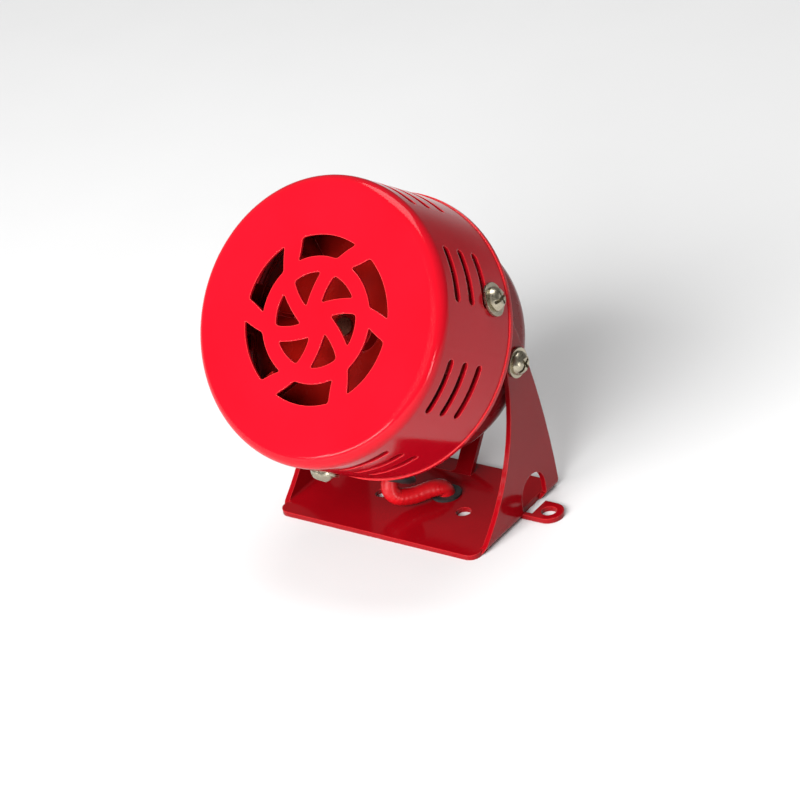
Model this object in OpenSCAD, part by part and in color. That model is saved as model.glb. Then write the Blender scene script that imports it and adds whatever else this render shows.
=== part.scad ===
// Motor siren: a slotted drum with a vaned rotor inside, on a tilting sheet-metal bracket.
// The base lies on Z = 0, X runs along the tilt axis, and the drum faces -Y and up.

/* [Drum] */
// Outside diameter of the front cover
cover_d = 80; // [79:0.5:82]
// Depth of the front cover, from its face to its open rim
cover_depth = 35.8; // [35:0.1:36.5]
// Distance from the tilt axis to the face
face_ahead = 47.9; // [47.5:0.1:48.5]
// Rounding between the face and the side of the cover
cover_round = 3.6; // [2:0.2:5]
// Sheet thickness of the cover, cup and motor plate
shell_t = 0.9; // [0.8:0.05:1]
// Outside diameter of the rear cup
cup_d = 65.8; // [65:0.1:66]
// Distance from the tilt axis to the back of the rear cup
cup_behind = 12; // [11.8:0.1:12.5]
// Rounding of the cup's back edge
cup_round = 7; // [5:0.5:8]

/* [Sound openings] */
// Number of groups of side slots
slot_groups = 8; // [6:1:8]
// Slots in a group
slot_rows = 3; // [1:1:3]
// Angle that one slot spans
slot_span = 23; // [16:1:26]
// Width of a slot
slot_w = 2.8; // [2:0.1:3]
// Distance from the face to the first row of slots
slot_first = 8.3; // [7.5:0.1:9]
// Distance between rows
slot_pitch = 7.1; // [6.5:0.1:7.2]
// Turn of the slot groups about the drum's axis
slot_phase = -15.8; // [-20:0.1:-12]
// Number of openings in each ring of the face
rosette_n = 6; // [5:1:6]
// Outer and inner radius of the outer ring of openings
outer_ring = [23.2, 17.4];
// Outer radius of the inner ring of openings, and the radius of their tips
inner_ring = [13, 4.9];

/* [Bracket] */
// Outside width across the two arms
bracket_w = 70; // [69.8:0.1:71]
// Front to back depth of the base
base_depth = 36.8; // [34:0.2:38]
// Sheet thickness of the bracket
bracket_t = 1.5; // [1.4:0.1:1.5]
// Inside radius of the bends
bend_r = 0.8; // [0.5:0.1:1]
// Height of the tilt axis above the base's underside
pivot_z = 46.9; // [46.5:0.1:48]
// Distance of the tilt axis behind the middle of the base
pivot_y = 12.6; // [12.2:0.1:13]
// Upward tilt of the drum in the stored pose
rest_tilt = 35.5; // [20:0.5:45]
// Distance between the holes of the two side tabs
tab_hole_spacing = 81.6; // [80:0.2:84]
// Diameter of the holes in the tabs
tab_hole_d = 4.5; // [3.5:0.1:5]
// Distance between the two holes in the base
base_hole_spacing = 28; // [24:0.5:30]
// Diameter of the holes in the base
base_hole_d = 4.4; // [3.5:0.1:5]
// Middle of the base's hole pair
base_hole_mid = [4, 0.5];
// Lean of the rear loop from upright
loop_lean = 40; // [30:1:50]

/* [Fastenings and lead] */
// Diameter of the tilt screws
pivot_screw_d = 4; // [3.8:0.1:4.2]
// Diameter of the screws that hold the cover
cover_screw_d = 3.5; // [3:0.1:3.8]
// Distance from the face to the cover screws
cover_screw_back = 26.3; // [26:0.1:26.6]
// Diameter of the red lead
lead_d = 5.2; // [4:0.1:5.4]
// Diameter of the gland's flange
gland_d = 14.4; // [13:0.2:14.6]

/* [Motor] */
// Diameter of the motor shaft
shaft_d = 5; // [4.5:0.1:5.2]
// Diameter of the armature
armature_d = 26.4; // [24:0.2:26.4]
// Outside diameter of the field core
field_d = 48; // [46:0.5:49]
// Outside diameter of the rotor
rotor_d = 73; // [70:0.5:73.5]
// Number of vanes in the rotor
rotor_vanes = 8; // [6:1:10]

/* [Hidden] */
$fn = 48;

red = [0.78, 0.05, 0.10];
nickel = [0.78, 0.76, 0.70];
steel = [0.60, 0.61, 0.63];
rubber = [0.06, 0.06, 0.06];
copper = [0.72, 0.40, 0.20];
bronze = [0.62, 0.45, 0.24];
board = [0.45, 0.28, 0.14];

eps = 0.01;
fit_gap = 0.05;
skin_gap = 0.1;
over = 2;

cover_r = cover_d / 2;
cover_in = cover_r - shell_t;
rim_z = face_ahead - cover_depth;
hem_t = 0.35;
hem_h = 1.3;
cup_r = cup_d / 2;
cup_in = cup_r - shell_t;
cup_back = -cup_behind;

plate_z = 15.6;
plate_t = 1.2;
plate_wall = 1.1;
plate_top = 23.8;
plate_r = cover_in - skin_gap;
cup_lip_r = 36;
cup_lip_t = 0.9;
cup_screw_r = 34.4;
cup_screw_d = 2.4;
cup_screw_phase = 90;

slot_z = [for (i = [0:slot_rows - 1]) face_ahead - slot_first - i * slot_pitch];
rosette_phase = 69.7;
rosette_corner = 0.9;
screw_z = face_ahead - cover_screw_back;
screw_phase = 22;
screw_count = 3;
washer_r = 4.7;
washer_t = 0.8;
pan_r = 3.4;
pan_h = 2.3;
drive_w = 0.9;
drive_depth = 1.1;

arm_in = bracket_w / 2 - bracket_t;
arm_out = bracket_w / 2;
arm_front_y = 8;
arm_toe_y = -15.7;
arm_heel_y = 24.2;
arm_heel_z = 2.6;
arm_tip_z = 58;
arm_tip_y = 14.3;
arm_sweep = 6.3;
arm_back_sweep = 1.7;
window_half = 6;
window_y = 11.8;
window_top = 10.9;
tab_half = 4.3;
tab_y = 9.7;
base_corner = 3.2;
wire_hole = [8.2, 6.5];
wire_hole_d = 8;
loop_w = 19.4;
loop_x = -0.5;
loop_len = 17;
loop_leg = 5.4;
loop_bar = 3.6;
loop_corner = 1.8;
pad_r = 5.5;

gland_x = -1.5;
gland_z = -4;
gland_lean = 3;
gland_neck_r = 4.4;
gland_top = 28.5;
gland_end = 39.8;
gland_slack = 0.4;
lead_out = 40.6;
gland_flange_t = 2.2;

field_z = 2.5;
field_h = 10.5;
field_wall = 4;
field_bore = armature_d / 2 + 0.4;
pole_half = 38;
coil_gap = 0.3;
coil_rise = 1.2;
field_screw_r = 22;
field_screw_d = 2.6;
armature_z = 3;
armature_h = 9;
winding_h = 2.4;
comm_r = 5.5;
comm_z = -5.2;
comm_h = 4.2;
comm_bars = 10;
bush_r = 4.8;
bush_h = 4.4;
rear_bush_z = cup_back + shell_t + 0.4;
front_bush_z = 15.2;
shaft_from = cup_back + shell_t + 0.6;
shaft_to = 34.2;
brush_z = comm_z + comm_h / 2;
brush_w = 3.6;
brush_h = 3;
brush_len = 6;
brush_tube = 0.8;
brush_tube_from = 7;
brush_tube_to = 17;
brush_plate_t = 1;
brush_plate_z = brush_z - brush_h / 2 - brush_tube - brush_plate_t;
brush_plate_r = 21;

rotor_r = rotor_d / 2;
rotor_z = 24.6;
rotor_h = 16.4;
rotor_t = 0.9;
rotor_hub_r = 6;
vane_from = 23;
rotor_port_h = 12.5;
rotor_hub_z = 20.4;
rotor_hub_top = 29.4;
rotor_nut_h = 3;
rotor_washer_t = 0.8;
rotor_washer_r = 5.5;

// Moves a drum part from its own axis to its place: Z is the drum's axis, Z = 0 the tilt axis.
module in_drum() {
    translate([0, pivot_y, pivot_z])
        rotate([90 - rest_tilt, 0, 0])
            children();
}

// Repeats a part n times about Z, from an angle a.
module around(n, a = 0) {
    for (i = [0:n - 1])
        rotate(a + i * 360 / n)
            children();
}

// Lays a part that is drawn along Z along the radius at X.
module along_radius() {
    rotate([0, 90, 0])
        children();
}

module ring(r_out, r_in, h) {
    difference() {
        cylinder(r = r_out, h = h);
        translate([0, 0, -over])
            cylinder(r = r_in, h = h + 2 * over);
    }
}

// A part of a ring between two angles less than 150 degrees apart.
module ring_part(r_out, r_in, h, a0, a1) {
    middle = (a0 + a1) / 2;
    reach = (r_out + over) / cos((a1 - a0) / 4);
    intersection() {
        ring(r_out, r_in, h);
        translate([0, 0, -over])
            linear_extrude(height = h + 2 * over)
                polygon([[0, 0], polar(reach, a0), polar(reach, middle), polar(reach, a1)]);
    }
}

function polar(r, a) = r * [cos(a), sin(a)];
function arc(r, a0, a1, n) = [for (i = [0:n]) polar(r, a0 + (a1 - a0) * i / n)];
function left_of(v) = [-v.y, v.x] / norm(v);
// A point at t = 0 to 1 on the way from p to q, which bows to the left by s at the middle.
function bow_at(p, q, s, t) = p + (q - p) * t + left_of(q - p) * 4 * s * t * (1 - t);
// Points on that way, with a length of trim left out at both ends.
function bow(p, q, s, n, trim = 0) = [
    for (i = [0:n])
        let (cut = trim / norm(q - p))
        bow_at(p, q, s, cut + (1 - 2 * cut) * i / n)
];
// The points inside a rounded corner at c that joins a and b.
function corner(a, c, b) = [
    for (t = [0.25, 0.5, 0.75])
        (1 - t) * (1 - t) * a + 2 * t * (1 - t) * c + t * t * b
];
function last_of(v) = v[len(v) - 1];

// A pan-head screw: the head stands on Z = 0 and the shank goes down.
module pan_screw(d, length, slot_turn = 0) {
    head_ball = (pan_r * pan_r + pan_h * pan_h) / (2 * pan_h);
    translate([0, 0, -length])
        cylinder(d = d, h = length + eps);
    difference() {
        intersection() {
            cylinder(r = pan_r, h = pan_h);
            translate([0, 0, pan_h + 0.5 - head_ball])
                sphere(r = head_ball);
        }
        for (turn = [0, 90])
            rotate(slot_turn + turn)
                translate([-pan_r * (turn == 0 ? 1.2 : 0.55), -drive_w / 2, pan_h - drive_depth])
                    cube([pan_r * (turn == 0 ? 2.4 : 1.1), drive_w, drive_depth + over]);
    }
}

module hex_nut(across, h, bore_d) {
    difference() {
        cylinder(d = across / cos(30), h = h, $fn = 6);
        translate([0, 0, -over])
            cylinder(d = bore_d, h = h + 2 * over);
    }
}

// A rounded cup wall in section, open at Z = depth, with its outer bottom corner rounded.
module cup_section(r, depth, round_r, wall) {
    difference() {
        cup_outline(r, depth, round_r);
        translate([-eps, wall])
            cup_outline(r - wall + eps, depth, max(round_r - wall, eps));
    }
}

module cup_outline(r, depth, round_r) {
    square([r - round_r, depth]);
    translate([0, round_r])
        square([r, depth - round_r]);
    translate([r - round_r, round_r])
        intersection() {
            circle(r = round_r);
            translate([0, -round_r])
                square(round_r);
        }
}

module cup_shell(r, depth, round_r, wall) {
    rotate_extrude()
        cup_section(r, depth, round_r, wall);
}

/* Front cover */

// Angle that a length takes up at a radius.
function angle_of(length, r) = length / r * 180 / PI;

// An outline with rounded corners, from its sides in order.
function rounded(sides, corners) = [
    for (i = [0:len(sides) - 1])
        let (next = sides[(i + 1) % len(sides)])
        each concat(sides[i], corner(last_of(sides[i]), corners[i], next[0]))
];

function outer_opening() = let (
    step = 360 / rosette_n,
    a = rosette_phase,
    b = a + step * 0.75,
    c = a + step * 0.885,
    d = a + step * 0.18,
    trim_out = angle_of(rosette_corner, outer_ring[0]),
    trim_in = angle_of(rosette_corner, outer_ring[1]),
    p = [polar(outer_ring[0], b), polar(outer_ring[1], c), polar(outer_ring[1], d), polar(outer_ring[0], a)]
) rounded([
    arc(outer_ring[0], a + trim_out, b - trim_out, 10),
    bow(p[0], p[1], 0.2, 3, rosette_corner),
    arc(outer_ring[1], c - trim_in, d + trim_in, 10),
    bow(p[2], p[3], 0.2, 3, rosette_corner)
], p);

function inner_opening() = let (
    step = 360 / rosette_n,
    a = rosette_phase + step * 0.44,
    b = a + step * 0.66,
    trim = angle_of(rosette_corner, inner_ring[0]),
    p = [polar(inner_ring[0], b), polar(inner_ring[1], a + step * 0.75), polar(inner_ring[0], a)]
) rounded([
    arc(inner_ring[0], a + trim, b - trim, 8),
    bow(p[0], p[1], -0.5, 5, rosette_corner),
    bow(p[1], p[2], 0.4, 5, rosette_corner)
], p);

module rosette() {
    around(rosette_n)
        translate([0, 0, -over])
            linear_extrude(height = 2 * over + shell_t) {
                polygon(outer_opening());
                polygon(inner_opening());
            }
}

module stadium(length, width) {
    square([length - width, width], center = true);
    for (side = [-1, 1])
        translate([side * (length - width) / 2, 0])
            circle(d = width);
}

module side_slot(z) {
    translate([cover_in - 2 * over, 0, z])
        rotate([90, 0, 90])
            linear_extrude(height = 3 * over + shell_t)
                stadium(cover_d * sin(slot_span / 2), slot_w);
}

module front_cover() {
    color(red)
        in_drum()
            difference() {
                union() {
                    translate([0, 0, face_ahead])
                        rotate([180, 0, 0])
                            cup_shell(cover_r, cover_depth, cover_round, shell_t);
                    translate([0, 0, rim_z])
                        ring(cover_r + hem_t, cover_in, hem_h);
                }
                translate([0, 0, face_ahead - shell_t])
                    rosette();
                around(slot_groups, slot_phase)
                    for (z = slot_z)
                        side_slot(z);
                around(screw_count, screw_phase)
                    translate([cover_in - over, 0, screw_z])
                        along_radius()
                            cylinder(d = cover_screw_d + 2 * fit_gap, h = shell_t + 2 * over);
            }
}

/* Plate and cup */

module motor_plate() {
    color(red)
        in_drum()
            difference() {
                union() {
                    translate([0, 0, plate_z])
                        cylinder(r = plate_r, h = plate_t);
                    translate([0, 0, plate_z])
                        ring(plate_r, plate_r - plate_wall, plate_top - plate_z);
                    translate([0, 0, front_bush_z])
                        cylinder(r = bush_r + 1.6, h = bush_h);
                }
                translate([0, 0, front_bush_z - over])
                    cylinder(r = bush_r, h = bush_h + 2 * over);
                around(screw_count, screw_phase)
                    translate([plate_r - plate_wall - over, 0, screw_z])
                        along_radius()
                            cylinder(d = cover_screw_d, h = plate_wall + 2 * over);
                around(3, cup_screw_phase)
                    translate([cup_screw_r, 0, plate_z - over])
                        cylinder(d = cup_screw_d, h = plate_t + 2 * over);
                around(2, 90)
                    translate([field_screw_r, 0, plate_z - over])
                        cylinder(d = field_screw_d, h = plate_t + 2 * over);
            }
}

module gland_place() {
    rotate([gland_lean, 0, 0])
        translate([gland_x, 0, gland_z])
            rotate([90, 0, 0])
                children();
}

module rear_cup() {
    color(red)
        in_drum()
            difference() {
                union() {
                    translate([0, 0, cup_back])
                        cup_shell(cup_r, plate_z - cup_back, cup_round, shell_t);
                    translate([0, 0, plate_z - cup_lip_t])
                        ring(cup_lip_r, cup_in, cup_lip_t);
                    for (side = [0, 180])
                        rotate(side)
                            translate([cup_r - 2.2, 0, 0])
                                along_radius()
                                    cylinder(r = pad_r, h = arm_in - skin_gap - cup_r + 2.2);
                }
                for (side = [0, 180])
                    rotate(side)
                        translate([cup_r - 2 * over, 0, 0])
                            along_radius()
                                cylinder(d = pivot_screw_d, h = 4 * over);
                gland_place()
                    cylinder(r = gland_neck_r, h = gland_end);
                around(3, cup_screw_phase)
                    translate([cup_screw_r, 0, plate_z - over])
                        cylinder(d = cup_screw_d, h = 2 * over);
            }
}

module cable_gland() {
    color(rubber)
        in_drum()
            gland_place()
                difference() {
                    union() {
                        translate([0, 0, gland_top])
                            cylinder(r = gland_neck_r, h = gland_end - gland_top);
                        translate([0, 0, gland_end - gland_flange_t])
                            gland_flange();
                    }
                    translate([0, 0, gland_top - over])
                        cylinder(d = lead_d + 2 * gland_slack, h = gland_end);
                }
}

module gland_flange() {
    bead = gland_flange_t / 2;
    cylinder(d = gland_d - gland_flange_t, h = gland_flange_t);
    rotate_extrude()
        translate([gland_d / 2 - bead, bead])
            circle(r = bead, $fn = 24);
}

/* Fasteners of the siren body */

module cover_screws() {
    color(nickel)
        in_drum()
            around(screw_count, screw_phase)
                translate([cover_r + washer_t + 2 * eps, 0, screw_z])
                    along_radius()
                        pan_screw(cover_screw_d, cover_r - plate_r + plate_wall + washer_t + 2, 35);
}

module cover_washers() {
    color(nickel)
        in_drum()
            around(screw_count, screw_phase)
                translate([cover_r + eps, 0, screw_z])
                    along_radius()
                        ring(washer_r, cover_screw_d / 2 + fit_gap, washer_t);
}

module pivot_screws() {
    color(nickel)
        in_drum()
            around(2)
                translate([arm_out + skin_gap + washer_t + eps, 0, 0])
                    along_radius()
                        pan_screw(pivot_screw_d, arm_out - 27, 70);
}

module pivot_washers() {
    color(nickel)
        in_drum()
            around(2)
                translate([arm_out + skin_gap, 0, 0])
                    along_radius()
                        ring(washer_r - 0.4, pivot_screw_d / 2 + fit_gap, washer_t);
}

module pivot_nuts() {
    color(nickel)
        in_drum()
            around(2)
                translate([cup_in - 5.4, 0, 0])
                    along_radius()
                        hex_nut(7, 3.2, pivot_screw_d);
}

module cup_screws() {
    color(nickel)
        in_drum()
            around(3, cup_screw_phase)
                translate([cup_screw_r, 0, plate_z - cup_lip_t])
                    mirror([0, 0, 1])
                        small_screw(cup_screw_d, cup_lip_t + plate_t + 1);
}

// A short cheese-head screw: the head stands on Z = 0 and the shank goes down.
module small_screw(d, length) {
    head_h = d * 0.6;
    translate([0, 0, -length])
        cylinder(d = d, h = length + eps);
    difference() {
        cylinder(d = d * 1.25, h = head_h);
        translate([-d, -d / 8, head_h / 2])
            cube([2 * d, d / 4, head_h]);
    }
}

/* Motor */

module field_core() {
    color(steel)
        in_drum()
            translate([0, 0, field_z])
                difference() {
                    union() {
                        ring(field_d / 2, field_d / 2 - field_wall, field_h);
                        for (side = [0, 180])
                            ring_part(field_d / 2 - 1, field_bore, field_h, side - pole_half, side + pole_half);
                    }
                    around(2, 90)
                        translate([field_screw_r, 0, -over])
                            cylinder(d = field_screw_d, h = field_h + 2 * over);
                }
}

// One coil rings each pole: it fills the field window and stands a little past both faces.
module field_coils() {
    inner_half = pole_half + 1;
    outer_half = pole_half + 18;
    r_out = field_d / 2 - field_wall - coil_gap;
    r_in = field_bore + coil_rise;
    proud = 1.2;
    clear = 0.1;
    color(copper)
        in_drum()
            for (side = [0, 180])
                difference() {
                    translate([0, 0, field_z - proud])
                        ring_part(r_out, r_in, field_h + 2 * proud, side - outer_half, side + outer_half);
                    translate([0, 0, field_z - clear])
                        ring_part(r_out + over, r_in - over, field_h + 2 * clear, side - inner_half, side + inner_half);
                }
}

module field_screws() {
    color(nickel)
        in_drum()
            around(2, 90)
                translate([field_screw_r, 0, field_z])
                    mirror([0, 0, 1])
                        small_screw(field_screw_d, plate_z + plate_t - field_z + 0.8);
}

module field_spacers() {
    color(steel)
        in_drum()
            around(2, 90)
                translate([field_screw_r, 0, field_z + field_h])
                    ring(field_screw_d / 2 + 1, field_screw_d / 2 + fit_gap, plate_z - field_z - field_h);
}

module bush(z) {
    translate([0, 0, z])
        ring(bush_r, shaft_d / 2 + fit_gap, bush_h);
}

module front_bearing() {
    color(bronze)
        in_drum()
            bush(front_bush_z);
}

module rear_bearing() {
    color(bronze)
        in_drum()
            bush(rear_bush_z);
}

module bearing_holder() {
    color(steel)
        in_drum()
            translate([0, 0, cup_back + shell_t]) {
                ring(bush_r + 1.4, bush_r, bush_h + 0.4);
                ring(14, bush_r, 0.9);
            }
}

module brush_plate() {
    post_z = brush_plate_z + brush_plate_t;
    color(board)
        in_drum() {
            translate([0, 0, brush_plate_z])
                ring(brush_plate_r, bush_r + 1.8, brush_plate_t);
            around(2, 65)
                translate([brush_plate_r - 1.8, 0, brush_plate_z])
                    cylinder(r = 1.6, h = field_z - brush_plate_z);
            around(2, 115)
                translate([brush_plate_r - 1.8, 0, post_z - brush_plate_t])
                    cylinder(r = 1.6, h = field_z - brush_plate_z);
        }
}

module brush_holders() {
    color(bronze)
        in_drum()
            around(2)
                translate([brush_tube_from, 0, brush_z])
                    difference() {
                        brush_bar(brush_tube_to - brush_tube_from, brush_tube);
                        translate([-over, 0, 0])
                            brush_bar(brush_tube_to - brush_tube_from + over - brush_tube, fit_gap);
                    }
}

// A bar along X with the brush's section, grown by g on each side.
module brush_bar(length, g) {
    translate([0, -brush_w / 2 - g, -brush_h / 2 - g])
        cube([length, brush_w + 2 * g, brush_h + 2 * g]);
}

module brushes() {
    color([0.14, 0.14, 0.15])
        in_drum()
            around(2)
                difference() {
                    translate([comm_r - 0.4, 0, brush_z])
                        brush_bar(brush_len, 0);
                    translate([0, 0, comm_z - over])
                        cylinder(r = comm_r + fit_gap, h = comm_h + 2 * over);
                }
}

module brush_springs() {
    spring_from = comm_r - 0.4 + brush_len + fit_gap;
    spring_to = brush_tube_to - brush_tube - fit_gap;
    coils = 5;
    wire_d = 0.5;
    pitch = (spring_to - spring_from - wire_d) / (coils - 1);
    color(nickel)
        in_drum()
            around(2)
                for (i = [0:coils - 1])
                    translate([spring_from + wire_d / 2 + i * pitch, 0, brush_z])
                        along_radius()
                            rotate_extrude()
                                translate([1, 0])
                                    circle(d = min(wire_d, pitch + eps), $fn = 16);
}

/* Rotating parts */

module shaft() {
    color(steel)
        in_drum()
            translate([0, 0, shaft_from])
                cylinder(d = shaft_d, h = shaft_to - shaft_from);
}

module armature_core() {
    slots = comm_bars;
    color(steel)
        in_drum()
            translate([0, 0, armature_z])
                difference() {
                    cylinder(d = armature_d, h = armature_h);
                    translate([0, 0, -over])
                        cylinder(d = shaft_d, h = armature_h + 2 * over);
                    around(slots)
                        translate([armature_d / 2 - 2.4, 0, -over])
                            cylinder(r = 1.7, h = armature_h + 2 * over);
                    around(slots)
                        translate([armature_d / 2 - 2.4, -0.6, -over])
                            cube([over + 2, 1.2, armature_h + 2 * over]);
                }
}

module armature_winding() {
    wire_r = 1.6;
    color(copper)
        in_drum() {
            for (z = [armature_z - winding_h, armature_z + armature_h])
                translate([0, 0, z])
                    ring(armature_d / 2 - 1.2, shaft_d / 2 + 1.2, winding_h);
            around(comm_bars)
                translate([armature_d / 2 - 2.4, 0, armature_z - 1])
                    cylinder(r = wire_r, h = armature_h + 2);
        }
}

module commutator() {
    color(copper)
        in_drum()
            difference() {
                translate([0, 0, comm_z])
                    ring(comm_r, shaft_d / 2, comm_h + 1.4);
                around(comm_bars)
                    translate([comm_r - 0.5, -0.15, comm_z - over])
                        cube([over, 0.3, comm_h + over]);
            }
}

module rotor() {
    port_z = slot_z[slot_rows - 1] - slot_w / 2;
    port_span = 360 / rotor_vanes / 2;
    color(nickel)
        in_drum()
            difference() {
                union() {
                    translate([0, 0, rotor_z])
                        cylinder(r = rotor_r, h = rotor_t);
                    translate([0, 0, rotor_z])
                        ring(rotor_r, rotor_r - rotor_t, rotor_h);
                    translate([0, 0, rotor_hub_z])
                        cylinder(r = rotor_hub_r, h = rotor_hub_top - rotor_hub_z);
                    around(rotor_vanes)
                        translate([vane_from, -rotor_t / 2, rotor_z])
                            cube([rotor_r - rotor_t / 2 - vane_from, rotor_t, rotor_h - 1.6]);
                }
                translate([0, 0, rotor_hub_z - over])
                    cylinder(d = shaft_d, h = rotor_hub_top - rotor_hub_z + 2 * over);
                around(rotor_vanes, port_span / 2)
                    translate([0, 0, max(port_z, rotor_z + rotor_t + 0.6)])
                        ring_part(rotor_r + over, rotor_r - 2 * rotor_t, rotor_port_h, 0, port_span);
            }
}

module rotor_washer() {
    color(nickel)
        in_drum()
            translate([0, 0, rotor_hub_top])
                ring(rotor_washer_r, shaft_d / 2, rotor_washer_t);
}

module rotor_nut() {
    color(nickel)
        in_drum()
            translate([0, 0, rotor_hub_top + rotor_washer_t])
                hex_nut(8, rotor_nut_h, shaft_d);
}

/* Bracket */

module sheet_section(half_w, bottom, r) {
    tall = arm_tip_z + 10;
    translate([-half_w + r, bottom])
        square([2 * (half_w - r), tall]);
    translate([-half_w, bottom + r])
        square([2 * half_w, tall]);
    for (side = [-1, 1])
        translate([side * (half_w - r), bottom + r])
            circle(r = r);
}

module arm_outline() {
    tip_r = (arm_tip_y - arm_front_y) / 2;
    polygon(concat(
        bow([arm_toe_y, 0], [arm_front_y, pivot_z - 2], -arm_sweep, 16),
        [for (a = [180:-20:0]) [arm_front_y + tip_r, arm_tip_z] + polar(tip_r, a)],
        bow([arm_tip_y, arm_tip_z], [arm_heel_y, arm_heel_z], arm_back_sweep, 8),
        [[arm_heel_y - 0.8, 0]]
    ));
}

module window_outline() {
    spring_z = window_top - window_half;
    translate([window_y - window_half, bracket_t])
        square([2 * window_half, spring_z - bracket_t]);
    translate([window_y, spring_z])
        circle(r = window_half);
}

// Puts an outline drawn in the Y-Z plane across both arms.
module through_arms(half) {
    rotate([90, 0, 90])
        translate([0, 0, -half])
            linear_extrude(height = 2 * half)
                children();
}

module bent_sheet() {
    rotate([90, 0, 0])
        translate([0, 0, -arm_heel_y - over])
            linear_extrude(height = arm_heel_y - arm_toe_y + 4 * over)
                difference() {
                    sheet_section(arm_out, 0, bend_r + bracket_t);
                    sheet_section(arm_in, bracket_t, bend_r);
                }
}

module base_plate() {
    half_x = arm_in - bend_r;
    front_x = arm_out - 1;
    half_y = base_depth / 2;
    translate([-half_x, arm_toe_y, 0])
        cube([2 * half_x, half_y - arm_toe_y, bracket_t]);
    translate([-front_x, -half_y + base_corner, 0])
        cube([2 * front_x, arm_toe_y + half_y - base_corner + 4, bracket_t]);
    translate([-front_x + base_corner, -half_y, 0])
        cube([2 * (front_x - base_corner), base_corner + eps, bracket_t]);
    for (side = [-1, 1])
        translate([side * (front_x - base_corner), -half_y + base_corner, 0])
            cylinder(r = base_corner, h = bracket_t);
}

module side_tab() {
    reach = tab_hole_spacing / 2;
    translate([arm_in - bend_r, tab_y - tab_half, 0])
        cube([reach - arm_in + bend_r, 2 * tab_half, bracket_t]);
    translate([reach, tab_y, 0])
        cylinder(r = tab_half, h = bracket_t);
}

// A loop bent up and back from the rear edge of the base.
module rear_loop() {
    translate([loop_x, base_depth / 2 - bracket_t / 2, bracket_t / 2]) {
        rotate([90 - loop_lean, 0, 0])
            translate([0, 0, -bracket_t / 2])
                difference() {
                    linear_extrude(height = bracket_t)
                        loop_outline();
                    translate([0, 0, -over])
                        linear_extrude(height = bracket_t + 2 * over)
                            loop_window();
                }
        for (side = [-1, 1])
            translate([side * (loop_w - loop_leg) / 2, 0, 0])
                rotate([0, 90, 0])
                    cylinder(d = bracket_t, h = loop_leg, center = true);
    }
}

module loop_outline() {
    translate([-loop_w / 2, 0])
        square([loop_w, loop_len - loop_corner * 2]);
    translate([-loop_w / 2 + 2 * loop_corner, 0])
        square([loop_w - 4 * loop_corner, loop_len]);
    for (side = [-1, 1])
        translate([side * (loop_w / 2 - 2 * loop_corner), loop_len - 2 * loop_corner])
            circle(r = 2 * loop_corner);
}

module loop_window() {
    half = loop_w / 2 - loop_leg;
    top = loop_len - loop_bar;
    foot = 0.6;
    translate([-half, foot + loop_corner])
        square([2 * half, top - foot - 2 * loop_corner]);
    translate([-half + loop_corner, foot])
        square([2 * (half - loop_corner), top - foot]);
    for (x = [-1, 1], y = [foot + loop_corner, top - loop_corner])
        translate([x * (half - loop_corner), y])
            circle(r = loop_corner);
}

module bracket() {
    color(red)
        difference() {
            union() {
                intersection() {
                    bent_sheet();
                    through_arms(arm_out + over)
                        arm_outline();
                }
                base_plate();
                rear_loop();
                for (side = [0, 1])
                    mirror([side, 0, 0])
                        side_tab();
            }
            for (side = [0, 1])
                mirror([side, 0, 0])
                    translate([arm_in - eps, 0, 0])
                        through_arms_once(bracket_t + over)
                            window_outline();
            for (side = [-1, 1])
                translate([side * tab_hole_spacing / 2, tab_y, -over])
                    cylinder(d = tab_hole_d, h = bracket_t + 2 * over);
            for (side = [-1, 1])
                translate([base_hole_mid.x + side * base_hole_spacing / 2, base_hole_mid.y, -over])
                    cylinder(d = base_hole_d, h = bracket_t + 2 * over);
            translate([wire_hole.x, wire_hole.y, -over])
                cylinder(d = wire_hole_d, h = bracket_t + 2 * over);
            translate([-arm_out - over, pivot_y, pivot_z])
                rotate([0, 90, 0])
                    cylinder(d = pivot_screw_d + 2 * fit_gap, h = bracket_w + 2 * over);
        }
}

// Puts an outline drawn in the Y-Z plane through one arm.
module through_arms_once(h) {
    rotate([90, 0, 90])
        linear_extrude(height = h)
            children();
}

module base_grommet() {
    flange_r = wire_hole_d / 2 + 0.4;
    color(rubber)
        translate([wire_hole.x, wire_hole.y, 0])
            difference() {
                union() {
                    cylinder(d = wire_hole_d, h = bracket_t);
                    translate([0, 0, bracket_t])
                        cylinder(r = flange_r, h = 0.7);
                }
                translate([0, 0, -over])
                    cylinder(d = lead_d, h = bracket_t + 2 * over);
            }
}

/* Lead */

// A point of the drum's frame, given in the base's frame.
function drum_point(p) = let (a = 90 - rest_tilt) [
    p.x,
    pivot_y + p.y * cos(a) - p.z * sin(a),
    pivot_z + p.y * sin(a) + p.z * cos(a)
];
// A point on the gland's axis.
function gland_point(d) = let (a = gland_lean) drum_point([
    gland_x,
    -d * cos(a) - gland_z * sin(a),
    -d * sin(a) + gland_z * cos(a)
]);

lead_route = concat(
    [gland_point(gland_top - 2), gland_point((gland_top + lead_out) / 2 - 1), gland_point(lead_out)],
    [[-0.9, -6.5, 7.9], [0.5, -5.2, 5.9], [3, -1.6, 4.9], [5.9, 2.9, 5], [7.7, 5.6, 4.1]],
    [[wire_hole.x, wire_hole.y, 2.2], [wire_hole.x, wire_hole.y, 0]]
);

// A smooth way through points: it passes p[i] at t = i.
function spline_at(p, t) = let (
    last = len(p) - 1,
    i = min(floor(t), last - 1),
    u = t - i,
    a = p[max(i - 1, 0)],
    b = p[i],
    c = p[i + 1],
    d = p[min(i + 2, last)]
) 0.5 * (2 * b + (c - a) * u + (2 * a - 5 * b + 4 * c - d) * u * u + (3 * b - a - 3 * c + d) * u * u * u);

function unit(v) = v / norm(v);

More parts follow.
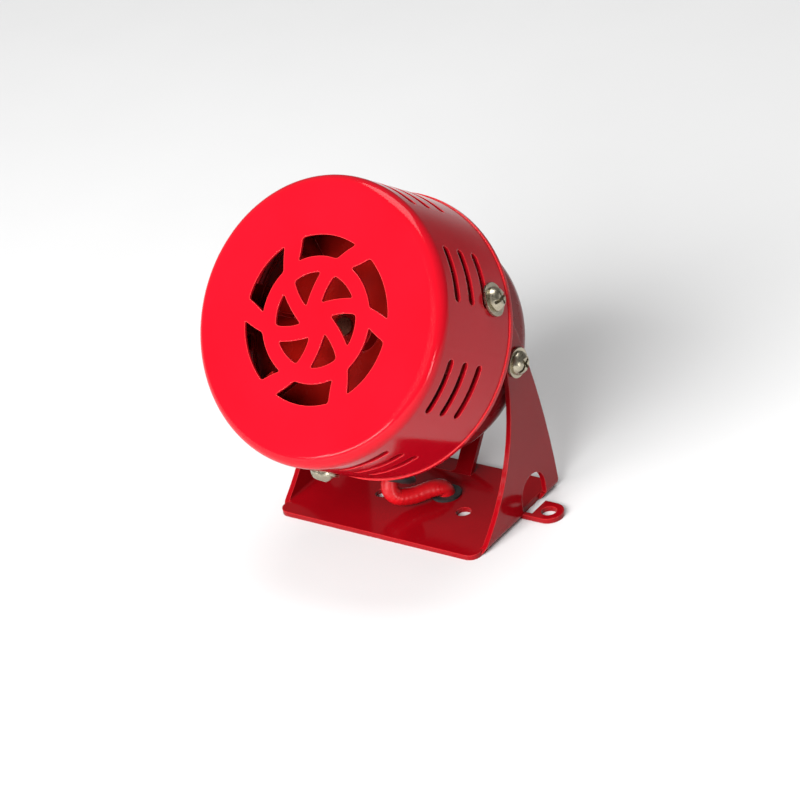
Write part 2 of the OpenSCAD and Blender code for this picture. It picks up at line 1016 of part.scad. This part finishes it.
// Sweeps a round tube through points, square across at both ends, the last end level.
module tube(p, r, rings, sides) {
    last = len(p) - 1;
    way = [for (k = [0:rings]) spline_at(p, last * k / rings)];
    heading = [
        for (k = [0:rings])
            k == rings ? [0, 0, -1] : unit(way[min(k + 1, rings)] - way[max(k - 1, 0)])
    ];
    side_on = [for (h = heading) unit(cross(h, [0, 1, 0.2]))];
    skin = [
        for (k = [0:rings], j = [0:sides - 1])
            let (a = 360 * j / sides)
            way[k] + r * (cos(a) * side_on[k] + sin(a) * cross(heading[k], side_on[k]))
    ];
    walls = [
        for (k = [0:rings - 1], j = [0:sides - 1])
            let (n = (j + 1) % sides)
            each [
                [k * sides + j, (k + 1) * sides + j, (k + 1) * sides + n],
                [k * sides + j, (k + 1) * sides + n, k * sides + n]
            ]
    ];
    ends = [
        [for (j = [0:sides - 1]) j],
        [for (j = [sides - 1:-1:0]) rings * sides + j]
    ];
    polyhedron(points = skin, faces = concat(walls, ends), convexity = 4);
}

module lead() {
    color(red)
        tube(lead_route, lead_d / 2, 36, 12);
}

bracket();
base_grommet();
lead();
front_cover();
motor_plate();
rear_cup();
cable_gland();
cover_screws();
cover_washers();
pivot_screws();
pivot_washers();
pivot_nuts();
cup_screws();
field_core();
field_coils();
field_screws();
field_spacers();
front_bearing();
rear_bearing();
bearing_holder();
brush_plate();
brush_holders();
brushes();
brush_springs();
shaft();
armature_core();
armature_winding();
commutator();
rotor();
rotor_washer();
rotor_nut();
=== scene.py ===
"""Looks of the motor siren: red enamel, plated screws, rubber, and the motor inside."""

import math

import bmesh
import bpy
from mathutils import Matrix, Vector


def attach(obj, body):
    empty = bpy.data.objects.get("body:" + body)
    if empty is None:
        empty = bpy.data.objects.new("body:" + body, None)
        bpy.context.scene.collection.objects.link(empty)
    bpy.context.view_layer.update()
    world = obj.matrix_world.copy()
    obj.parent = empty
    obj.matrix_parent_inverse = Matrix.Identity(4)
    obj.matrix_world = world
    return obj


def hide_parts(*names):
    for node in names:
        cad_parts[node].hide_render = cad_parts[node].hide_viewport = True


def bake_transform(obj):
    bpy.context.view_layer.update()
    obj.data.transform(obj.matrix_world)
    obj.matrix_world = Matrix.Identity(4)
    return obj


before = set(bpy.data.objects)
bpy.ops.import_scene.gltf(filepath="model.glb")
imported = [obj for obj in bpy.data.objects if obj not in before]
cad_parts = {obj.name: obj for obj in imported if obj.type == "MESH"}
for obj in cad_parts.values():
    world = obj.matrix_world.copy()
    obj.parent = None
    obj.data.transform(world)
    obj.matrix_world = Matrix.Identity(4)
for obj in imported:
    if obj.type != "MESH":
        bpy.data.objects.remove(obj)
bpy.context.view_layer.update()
MM = 0.001


# ---------------------------------------------------------------- camera

SENSOR = 36.0  # mm
LENS = 145.96  # mm
NEAR_CLIP = 0.01
CAMERA_AT = Vector((502.5, -609.0, 481.1)) * MM
CAMERA_AZIMUTH = math.radians(39.384)
CAMERA_ELEVATION = math.radians(29.5)
CAMERA_ROLL = math.radians(9.867)


def camera_axes(azimuth, elevation, roll):
    """The camera's right, up and back directions."""
    back = Vector((
        math.sin(azimuth) * math.cos(elevation),
        -math.cos(azimuth) * math.cos(elevation),
        math.sin(elevation),
    ))
    right = (-back).cross(Vector((0, 0, 1))).normalized()
    down = (-back).cross(right)
    rolled_right = right * math.cos(roll) + down * math.sin(roll)
    rolled_down = down * math.cos(roll) - right * math.sin(roll)
    return rolled_right, -rolled_down, back


def add_camera():
    """The scene's camera, with square pixels, no shift and no depth of field."""
    data = bpy.data.cameras.new("camera")
    data.sensor_width = SENSOR
    data.lens = LENS
    data.clip_start = NEAR_CLIP
    cam = bpy.data.objects.new("camera", data)
    bpy.context.scene.collection.objects.link(cam)
    right, up, back = camera_axes(CAMERA_AZIMUTH, CAMERA_ELEVATION, CAMERA_ROLL)
    turn = Matrix((right, up, back)).transposed().to_4x4()
    cam.matrix_world = Matrix.Translation(CAMERA_AT) @ turn
    bpy.context.scene.camera = cam


# ---------------------------------------------------------------- materials
# Noise scales are per metre. Bump distances and edge radii are in metres.

EDGE_SAMPLES = 6
STEEL_GREY = (0.62, 0.62, 0.60)
SLEEVE_RED = (0.50, 0.004, 0.008)


class Nodes:
    """A short way to write a node material."""

    def __init__(self, name):
        self.mat = bpy.data.materials.new(name)
        self.mat.use_nodes = True
        self.tree = self.mat.node_tree
        self.shader = self.tree.nodes["Principled BSDF"]
        self.coords = self.add("ShaderNodeTexCoord").outputs["Object"]

    def add(self, kind, **values):
        """A new node, with each value set on the input or the property of that name."""
        n = self.tree.nodes.new(kind)
        for key, value in values.items():
            if key in n.inputs:
                n.inputs[key].default_value = value
            else:
                setattr(n, key, value)
        return n

    def link(self, a, b):
        self.tree.links.new(a, b)
        return b.node

    def noise(self, scale, detail=3.0, rough=0.5, stretch=None):
        """Noise in the object's own frame, stretched along its axes if asked."""
        n = self.add("ShaderNodeTexNoise", Scale=scale, Detail=detail, Roughness=rough)
        at = self.coords
        if stretch:
            m = self.add("ShaderNodeMapping")
            m.inputs["Scale"].default_value = stretch
            self.link(at, m.inputs["Vector"])
            at = m.outputs["Vector"]
        self.link(at, n.inputs["Vector"])
        return n.outputs["Fac"]

    def ramp(self, value, stops):
        """Maps a value to colours or greys given as (place, colour) stops."""
        r = self.add("ShaderNodeValToRGB")
        while len(r.color_ramp.elements) < len(stops):
            r.color_ramp.elements.new(0.5)
        for element, (place, colour) in zip(r.color_ramp.elements, stops):
            element.position = place
            element.color = grey(colour) if isinstance(colour, (int, float)) else (*colour, 1)
        self.link(value, r.inputs["Fac"])
        return r.outputs["Color"]

    def mix(self, factor, a, b):
        """From colour a to colour b as the factor goes from 0 to 1."""
        m = self.add("ShaderNodeMix", data_type="RGBA")
        for socket, value in ((m.inputs[0], factor), (m.inputs[6], a), (m.inputs[7], b)):
            if isinstance(value, bpy.types.NodeSocket):
                self.link(value, socket)
            else:
                socket.default_value = value if isinstance(value, float) else (*value, 1)
        return m.outputs[2]

    def rounded_normal(self, radius):
        """The normal with sharp edges rounded by that radius."""
        return self.add("ShaderNodeBevel", Radius=radius, samples=EDGE_SAMPLES).outputs["Normal"]

    def edges(self, normal):
        """1 on sharp edges and 0 on flats, from a rounded normal."""
        dot = self.add("ShaderNodeVectorMath", operation="DOT_PRODUCT")
        self.link(normal, dot.inputs[0])
        self.link(self.add("ShaderNodeNewGeometry").outputs["Normal"], dot.inputs[1])
        return self.ramp(dot.outputs["Value"], [(0.78, 1.0), (0.95, 0.0)])

    def bump(self, height, strength, distance, normal=None):
        """Raises the surface by a height, on top of a normal if one is given."""
        b = self.add("ShaderNodeBump", Strength=strength, Distance=distance)
        self.link(height, b.inputs["Height"])
        if normal:
            self.link(normal, b.inputs["Normal"])
        self.link(b.outputs["Normal"], self.shader.inputs["Normal"])

    def set(self, **values):
        """Sets or links the shader's inputs, named with _ for each space."""
        for key, value in values.items():
            socket = self.shader.inputs[key.replace("_", " ")]
            if isinstance(value, bpy.types.NodeSocket):
                self.link(value, socket)
            else:
                socket.default_value = (*value, 1) if isinstance(value, tuple) else value


def grey(v):
    return (v, v, v, 1)


def enamel(name, light, deep, rough=0.1):
    """Glossy baked enamel: slow colour drift, faint orange peel, a few specks of dust.
    Its sharp edges are painted a paler red: a painted highlight along them."""
    n = Nodes(name)
    normal = n.rounded_normal(0.0005)
    drift = n.ramp(n.noise(35, 3), [(0.3, deep), (0.7, light)])
    speck = n.ramp(n.noise(1400, 1), [(0.74, 0.0), (0.79, 0.5)])
    dusted = n.mix(speck, drift, tuple(c * 0.6 for c in deep))
    # Paler red along sharp edges: a painted highlight.
    painted_edge_highlight = (min(light[0] * 2.1, 0.85), light[0] * 0.10, light[0] * 0.11)
    n.set(
        Base_Color=n.mix(n.edges(normal), dusted, painted_edge_highlight),
        Roughness=n.ramp(n.noise(160, 3), [(0.3, rough * 0.85), (0.75, rough * 1.35)]),
        Specular_IOR_Level=0.17,
        Coat_Weight=0.08,
        Coat_Roughness=0.05,
    )
    n.bump(n.noise(420, 2), 0.05, 0.0002, normal)
    return n.mat


def plated(name, base, rough, brushed=(1, 1, 1)):
    """Plated metal with fine scratches and a little tarnish."""
    n = Nodes(name)
    tarnish = n.ramp(n.noise(300, 4, 0.6), [(0.35, tuple(c * 0.72 for c in base)), (0.7, base)])
    n.set(
        Base_Color=tarnish,
        Metallic=1.0,
        Roughness=n.ramp(n.noise(900, 3, 0.6, brushed), [(0.3, rough * 0.7), (0.75, rough * 1.6)]),
    )
    n.bump(n.noise(1800, 2, 0.5, brushed), 0.12, 0.00008, n.rounded_normal(0.0002))
    return n.mat


def rubber_like(name, base):
    """Moulded rubber: dull, finely grained, with paler rubbed patches."""
    n = Nodes(name)
    rubbed = n.ramp(n.noise(220, 4, 0.6), [(0.4, base), (0.8, tuple(c * 1.8 + 0.01 for c in base))])
    n.set(
        Base_Color=rubbed,
        Roughness=n.ramp(n.noise(600, 3), [(0.3, 0.44), (0.7, 0.66)]),
    )
    n.bump(n.noise(2600, 2), 0.2, 0.0001)
    return n.mat


def sleeve(name, base):
    """Soft plastic sleeve over the wires, a little wavy."""
    n = Nodes(name)
    n.set(
        Base_Color=n.ramp(n.noise(260, 3), [(0.3, tuple(c * 0.8 for c in base)), (0.75, base)]),
        Roughness=n.ramp(n.noise(500, 3), [(0.3, 0.26), (0.7, 0.42)]),
        Subsurface_Weight=0.05,
    )
    n.bump(n.noise(350, 2), 0.25, 0.0003)
    return n.mat


def windings(name):
    """Enamelled copper wire, wound close: fine ridges round the drum's axis."""
    n = Nodes(name)
    wave = n.add("ShaderNodeTexWave", Scale=900.0, Distortion=1.5, Detail=1.0, bands_direction="Z")
    n.link(n.coords, wave.inputs["Vector"])
    n.set(
        # Darker copper in the valleys between turns, where the bump is low: painted shade.
        Base_Color=n.ramp(wave.outputs["Fac"], [
            (0.2, (0.16, 0.05, 0.02)), (0.8, (0.62, 0.27, 0.12)),
        ]),
        Metallic=1.0,
        Roughness=n.ramp(n.noise(500, 3), [(0.3, 0.28), (0.7, 0.45)]),
    )
    n.bump(wave.outputs["Fac"], 0.5, 0.0002)
    return n.mat


def fibre_board(name):
    """Brown pressed board with a fine fibre."""
    n = Nodes(name)
    fibre = n.noise(900, 4, 0.6, (1, 0.15, 1))
    n.set(
        Base_Color=n.ramp(fibre, [(0.3, (0.13, 0.06, 0.025)), (0.75, (0.34, 0.19, 0.08))]),
        Roughness=n.ramp(n.noise(400, 2), [(0.3, 0.5), (0.7, 0.7)]),
    )
    n.bump(fibre, 0.3, 0.0002)
    return n.mat


def carbon(name):
    """Pressed carbon: near black, with a slight metal sheen."""
    n = Nodes(name)
    n.set(
        Base_Color=n.ramp(n.noise(1200, 4, 0.7), [
            (0.3, (0.012, 0.012, 0.013)), (0.75, (0.05, 0.05, 0.052)),
        ]),
        Roughness=n.ramp(n.noise(800, 2), [(0.3, 0.4), (0.7, 0.6)]),
        Metallic=0.3,
    )
    n.bump(n.noise(1500, 3), 0.2, 0.0001)
    return n.mat


def paint_nodes(material, *names):
    """Gives CAD nodes a material in place of their own."""
    for name in names:
        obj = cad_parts[name]
        obj.data.materials.clear()
        obj.data.materials.append(material)


def dress_nodes():
    """Paints every CAD node that stays in view, or that a piece stands for."""
    paint_nodes(enamel("cover_enamel", (0.375, 0.0028, 0.0100), (0.34, 0.0020, 0.0080)),
                "front_cover")
    paint_nodes(enamel("bracket_enamel", (0.22, 0.0012, 0.0040), (0.18, 0.0009, 0.0030), 0.12),
                "bracket")
    paint_nodes(enamel("cup_enamel", (0.20, 0.003, 0.006), (0.15, 0.002, 0.004), 0.25),
                "rear_cup", "motor_plate")
    paint_nodes(enamel("rotor_enamel", (0.30, 0.005, 0.003), (0.17, 0.003, 0.002), 0.24),
                "rotor", "rotor_washer", "rotor_nut")
    paint_nodes(plated("nickel", (0.50, 0.45, 0.34), 0.28),
                "cover_screws", "cover_washers", "pivot_screws", "pivot_washers")
    paint_nodes(plated("zinc", STEEL_GREY, 0.32),
                "pivot_nuts", "cup_screws", "field_screws", "brush_springs")
    paint_nodes(plated("core_steel", (0.45, 0.45, 0.46), 0.35, (1, 1, 9)),
                "field_core", "field_spacers", "armature_core", "bearing_holder")
    paint_nodes(plated("oiled_steel", (0.36, 0.14, 0.09), 0.3, (6, 6, 1)), "shaft")
    paint_nodes(plated("bronze", (0.55, 0.36, 0.16), 0.38),
                "front_bearing", "rear_bearing", "brush_holders")
    paint_nodes(plated("copper_bars", (0.70, 0.33, 0.18), 0.28), "commutator")
    paint_nodes(windings("copper_wire"), "field_coils", "armature_winding")
    paint_nodes(fibre_board("board"), "brush_plate")
    paint_nodes(carbon("carbon"), "brushes")
    paint_nodes(rubber_like("rubber", (0.012, 0.012, 0.012)), "cable_gland", "base_grommet")
    paint_nodes(sleeve("red_sleeve", SLEEVE_RED), "lead")


# ---------------------------------------------------------------- pieces

# The drum's own frame: its origin is on the tilt axis, in mm, and its z axis is the shaft's.
DRUM_AT = Vector((0, 12.6, 46.9))
DRUM_TURN = Matrix.Rotation(math.radians(54.5), 3, "X")


def from_drum(point):
    """A point of the drum's own frame, in mm, as a point of the row frame in metres."""
    return (DRUM_TURN @ Vector(point) + DRUM_AT) * MM


def smooth_way(points, steps):
    """Points on a smooth way through all of the given ones."""
    way = []
    last = len(points) - 1
    for k in range(last * steps + 1):
        i = min(k // steps, last - 1)
        u = k / steps - i
        a, b = points[max(i - 1, 0)], points[i]
        c, d = points[i + 1], points[min(i + 2, last)]
        way.append(0.5 * (
            2 * b + (c - a) * u
            + (2 * a - 5 * b + 4 * c - d) * u * u
            + (3 * b - a - 3 * c + d) * u ** 3
        ))
    return way


def sweep(name, way, radius_at, sides, material):
    """A closed round tube along a way, with radius_at(k, side angle) in metres."""
    bm = bmesh.new()
    heading = (way[1] - way[0]).normalized()
    side_on = heading.orthogonal().normalized()
    loops = []
    for k, at in enumerate(way):
        ahead = (way[min(k + 1, len(way) - 1)] - way[max(k - 1, 0)]).normalized()
        side_on = heading.rotation_difference(ahead) @ side_on
        heading = ahead
        up_on = heading.cross(side_on)
        loops.append([
            bm.verts.new(at + radius_at(k, a) * (math.cos(a) * side_on + math.sin(a) * up_on))
            for a in (2 * math.pi * j / sides for j in range(sides))
        ])
    for near, far in zip(loops, loops[1:]):
        for j in range(sides):
            n = (j + 1) % sides
            bm.faces.new((near[j], near[n], far[n], far[j]))
    bm.faces.new(reversed(loops[0]))
    bm.faces.new(loops[-1])
    bmesh.ops.recalc_face_normals(bm, faces=bm.faces)
    mesh = bpy.data.meshes.new(name)
    bm.to_mesh(mesh)
    bm.free()
    for face in mesh.polygons:
        face.use_smooth = len(face.vertices) == 4
    mesh.materials.append(material)
    obj = bpy.data.objects.new(name, mesh)
    bpy.context.scene.collection.objects.link(obj)
    return obj


# The CAD lead's middle line, in mm, from inside the gland to the base's underside.
LEAD_ROUTE = [Vector(p) * MM for p in (
    (-1.5, 1.74, 22.4), (-1.5, -2.05, 16.46), (-1.5, -5.84, 10.51),
    (-0.9, -6.5, 7.9), (0.5, -5.2, 5.9), (3, -1.6, 4.9), (5.9, 2.9, 5),
    (7.7, 5.6, 4.1), (8.2, 6.5, 2.2), (8.2, 6.5, 0),
)]
LEAD_R = 2.6
LEAD_STEPS, LEAD_SIDES = 10, 32


def lead_radius(k, a):
    """The sleeve's radius: it sags a little between the wires inside it."""
    wires = 0.06 * math.cos(3 * a + 0.25 * k)
    folds = 0.04 * math.sin(1.9 * k) + 0.03 * math.sin(2.7 * k + 2 * a)
    return (LEAD_R - 0.13 + wires + folds) * MM


def build_lead(material):
    """The lead's sleeve. It bends from base to drum."""
    way = smooth_way(LEAD_ROUTE, LEAD_STEPS)
    lead = sweep("lead_sleeve", way, lead_radius, LEAD_SIDES, material)
    for vert in lead.data.vertices:
        vert.co.z = max(vert.co.z, 0)
    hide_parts("lead")
    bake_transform(lead)


SPRING_FROM, SPRING_TO, SPRING_Z = 11.4, 15.9, -3.1
SPRING_R, SPRING_WIRE, SPRING_TURNS = 1.0, 0.24, 5
TURN_STEPS, WIRE_SIDES = 20, 10


def build_brush_springs(material):
    """A wound spring behind each brush, along the drum's x axis."""
    steps = SPRING_TURNS * TURN_STEPS
    for name, side in (("brush_spring_right", 1), ("brush_spring_left", -1)):
        way = []
        for k in range(steps + 1):
            a = 2 * math.pi * k / TURN_STEPS
            along = SPRING_FROM + (SPRING_TO - SPRING_FROM) * k / steps
            way.append(from_drum((
                side * along, SPRING_R * math.cos(a), SPRING_Z + SPRING_R * math.sin(a),
            )))
        spring = sweep(name, way, lambda k, a: SPRING_WIRE * MM, WIRE_SIDES, material)
        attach(spring, "siren")
        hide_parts("brush_springs")


# ---------------------------------------------------------------- stage and light

FLOOR_HALF = 3.0
WORLD_STRENGTH = 0.17
LIGHTS_AIM = Vector((0, 0, 0.05))

# Name, azimuth and elevation in degrees, distance in m, size in m, power in W, and whether it
# shows in gloss. Most of the key doesn't, or it would wash out the face seen from straight ahead.
LIGHTS = (
    ("key", 4, 33, 1.2, (0.9, 0.6), 28, False),
    ("key_gloss", 4, 33, 1.2, (0.9, 0.6), 12, True),
    ("side_strip", 62, 4, 0.9, (0.10, 0.30), 1.4, True),
    ("rim_strip", -14, 10, 0.9, (0.5, 0.05), 1.8, True),
    ("top", 200, 75, 1.1, (0.7, 0.7), 8, True),
)


def stage_material():
    """Pale matt paper."""
    n = Nodes("paper")
    n.set(
        Base_Color=n.ramp(n.noise(2, 2), [(0.3, (0.54, 0.54, 0.54)), (0.7, (0.57, 0.57, 0.57))]),
        Roughness=n.ramp(n.noise(40, 2), [(0.3, 0.75), (0.7, 0.9)]),
    )
    return n.mat


def add_floor():
    """A plain floor, which is no part of the object."""
    half = FLOOR_HALF
    mesh = bpy.data.meshes.new("floor")
    corners = [(-half, -half, 0), (half, -half, 0), (half, half, 0), (-half, half, 0)]
    mesh.from_pydata(corners, [], [(0, 1, 2, 3)])
    mesh.materials.append(stage_material())
    floor = bpy.data.objects.new("floor", mesh)
    bpy.context.scene.collection.objects.link(floor)


def soft_box(name, at, aim, size, power, in_gloss):
    """An area light of that size, pointing from at to aim."""
    data = bpy.data.lights.new(name, "AREA")
    data.shape = "RECTANGLE"
    data.size, data.size_y = size
    data.energy = power
    light = bpy.data.objects.new(name, data)
    bpy.context.scene.collection.objects.link(light)
    light.location = at
    light.rotation_euler = (Vector(aim) - Vector(at)).to_track_quat("-Z", "Y").to_euler()
    light.visible_glossy = in_gloss


def add_light():
    """The soft lights and a dim white world."""
    for name, azimuth, elevation, away, size, power, in_gloss in LIGHTS:
        a, e = math.radians(azimuth), math.radians(elevation)
        towards = Vector((
            math.sin(a) * math.cos(e), -math.cos(a) * math.cos(e), math.sin(e),
        ))
        soft_box(name, LIGHTS_AIM + away * towards, LIGHTS_AIM, size, power, in_gloss)
    world = bpy.data.worlds.new("world")
    world.use_nodes = True
    background = world.node_tree.nodes["Background"]
    background.inputs["Color"].default_value = grey(1)
    background.inputs["Strength"].default_value = WORLD_STRENGTH
    bpy.context.scene.world = world
    bpy.context.scene.view_settings.view_transform = "Standard"


add_camera()
dress_nodes()
build_lead(sleeve("sleeve_plastic", SLEEVE_RED))
build_brush_springs(plated("spring_steel", STEEL_GREY, 0.3))
add_floor()
add_light()
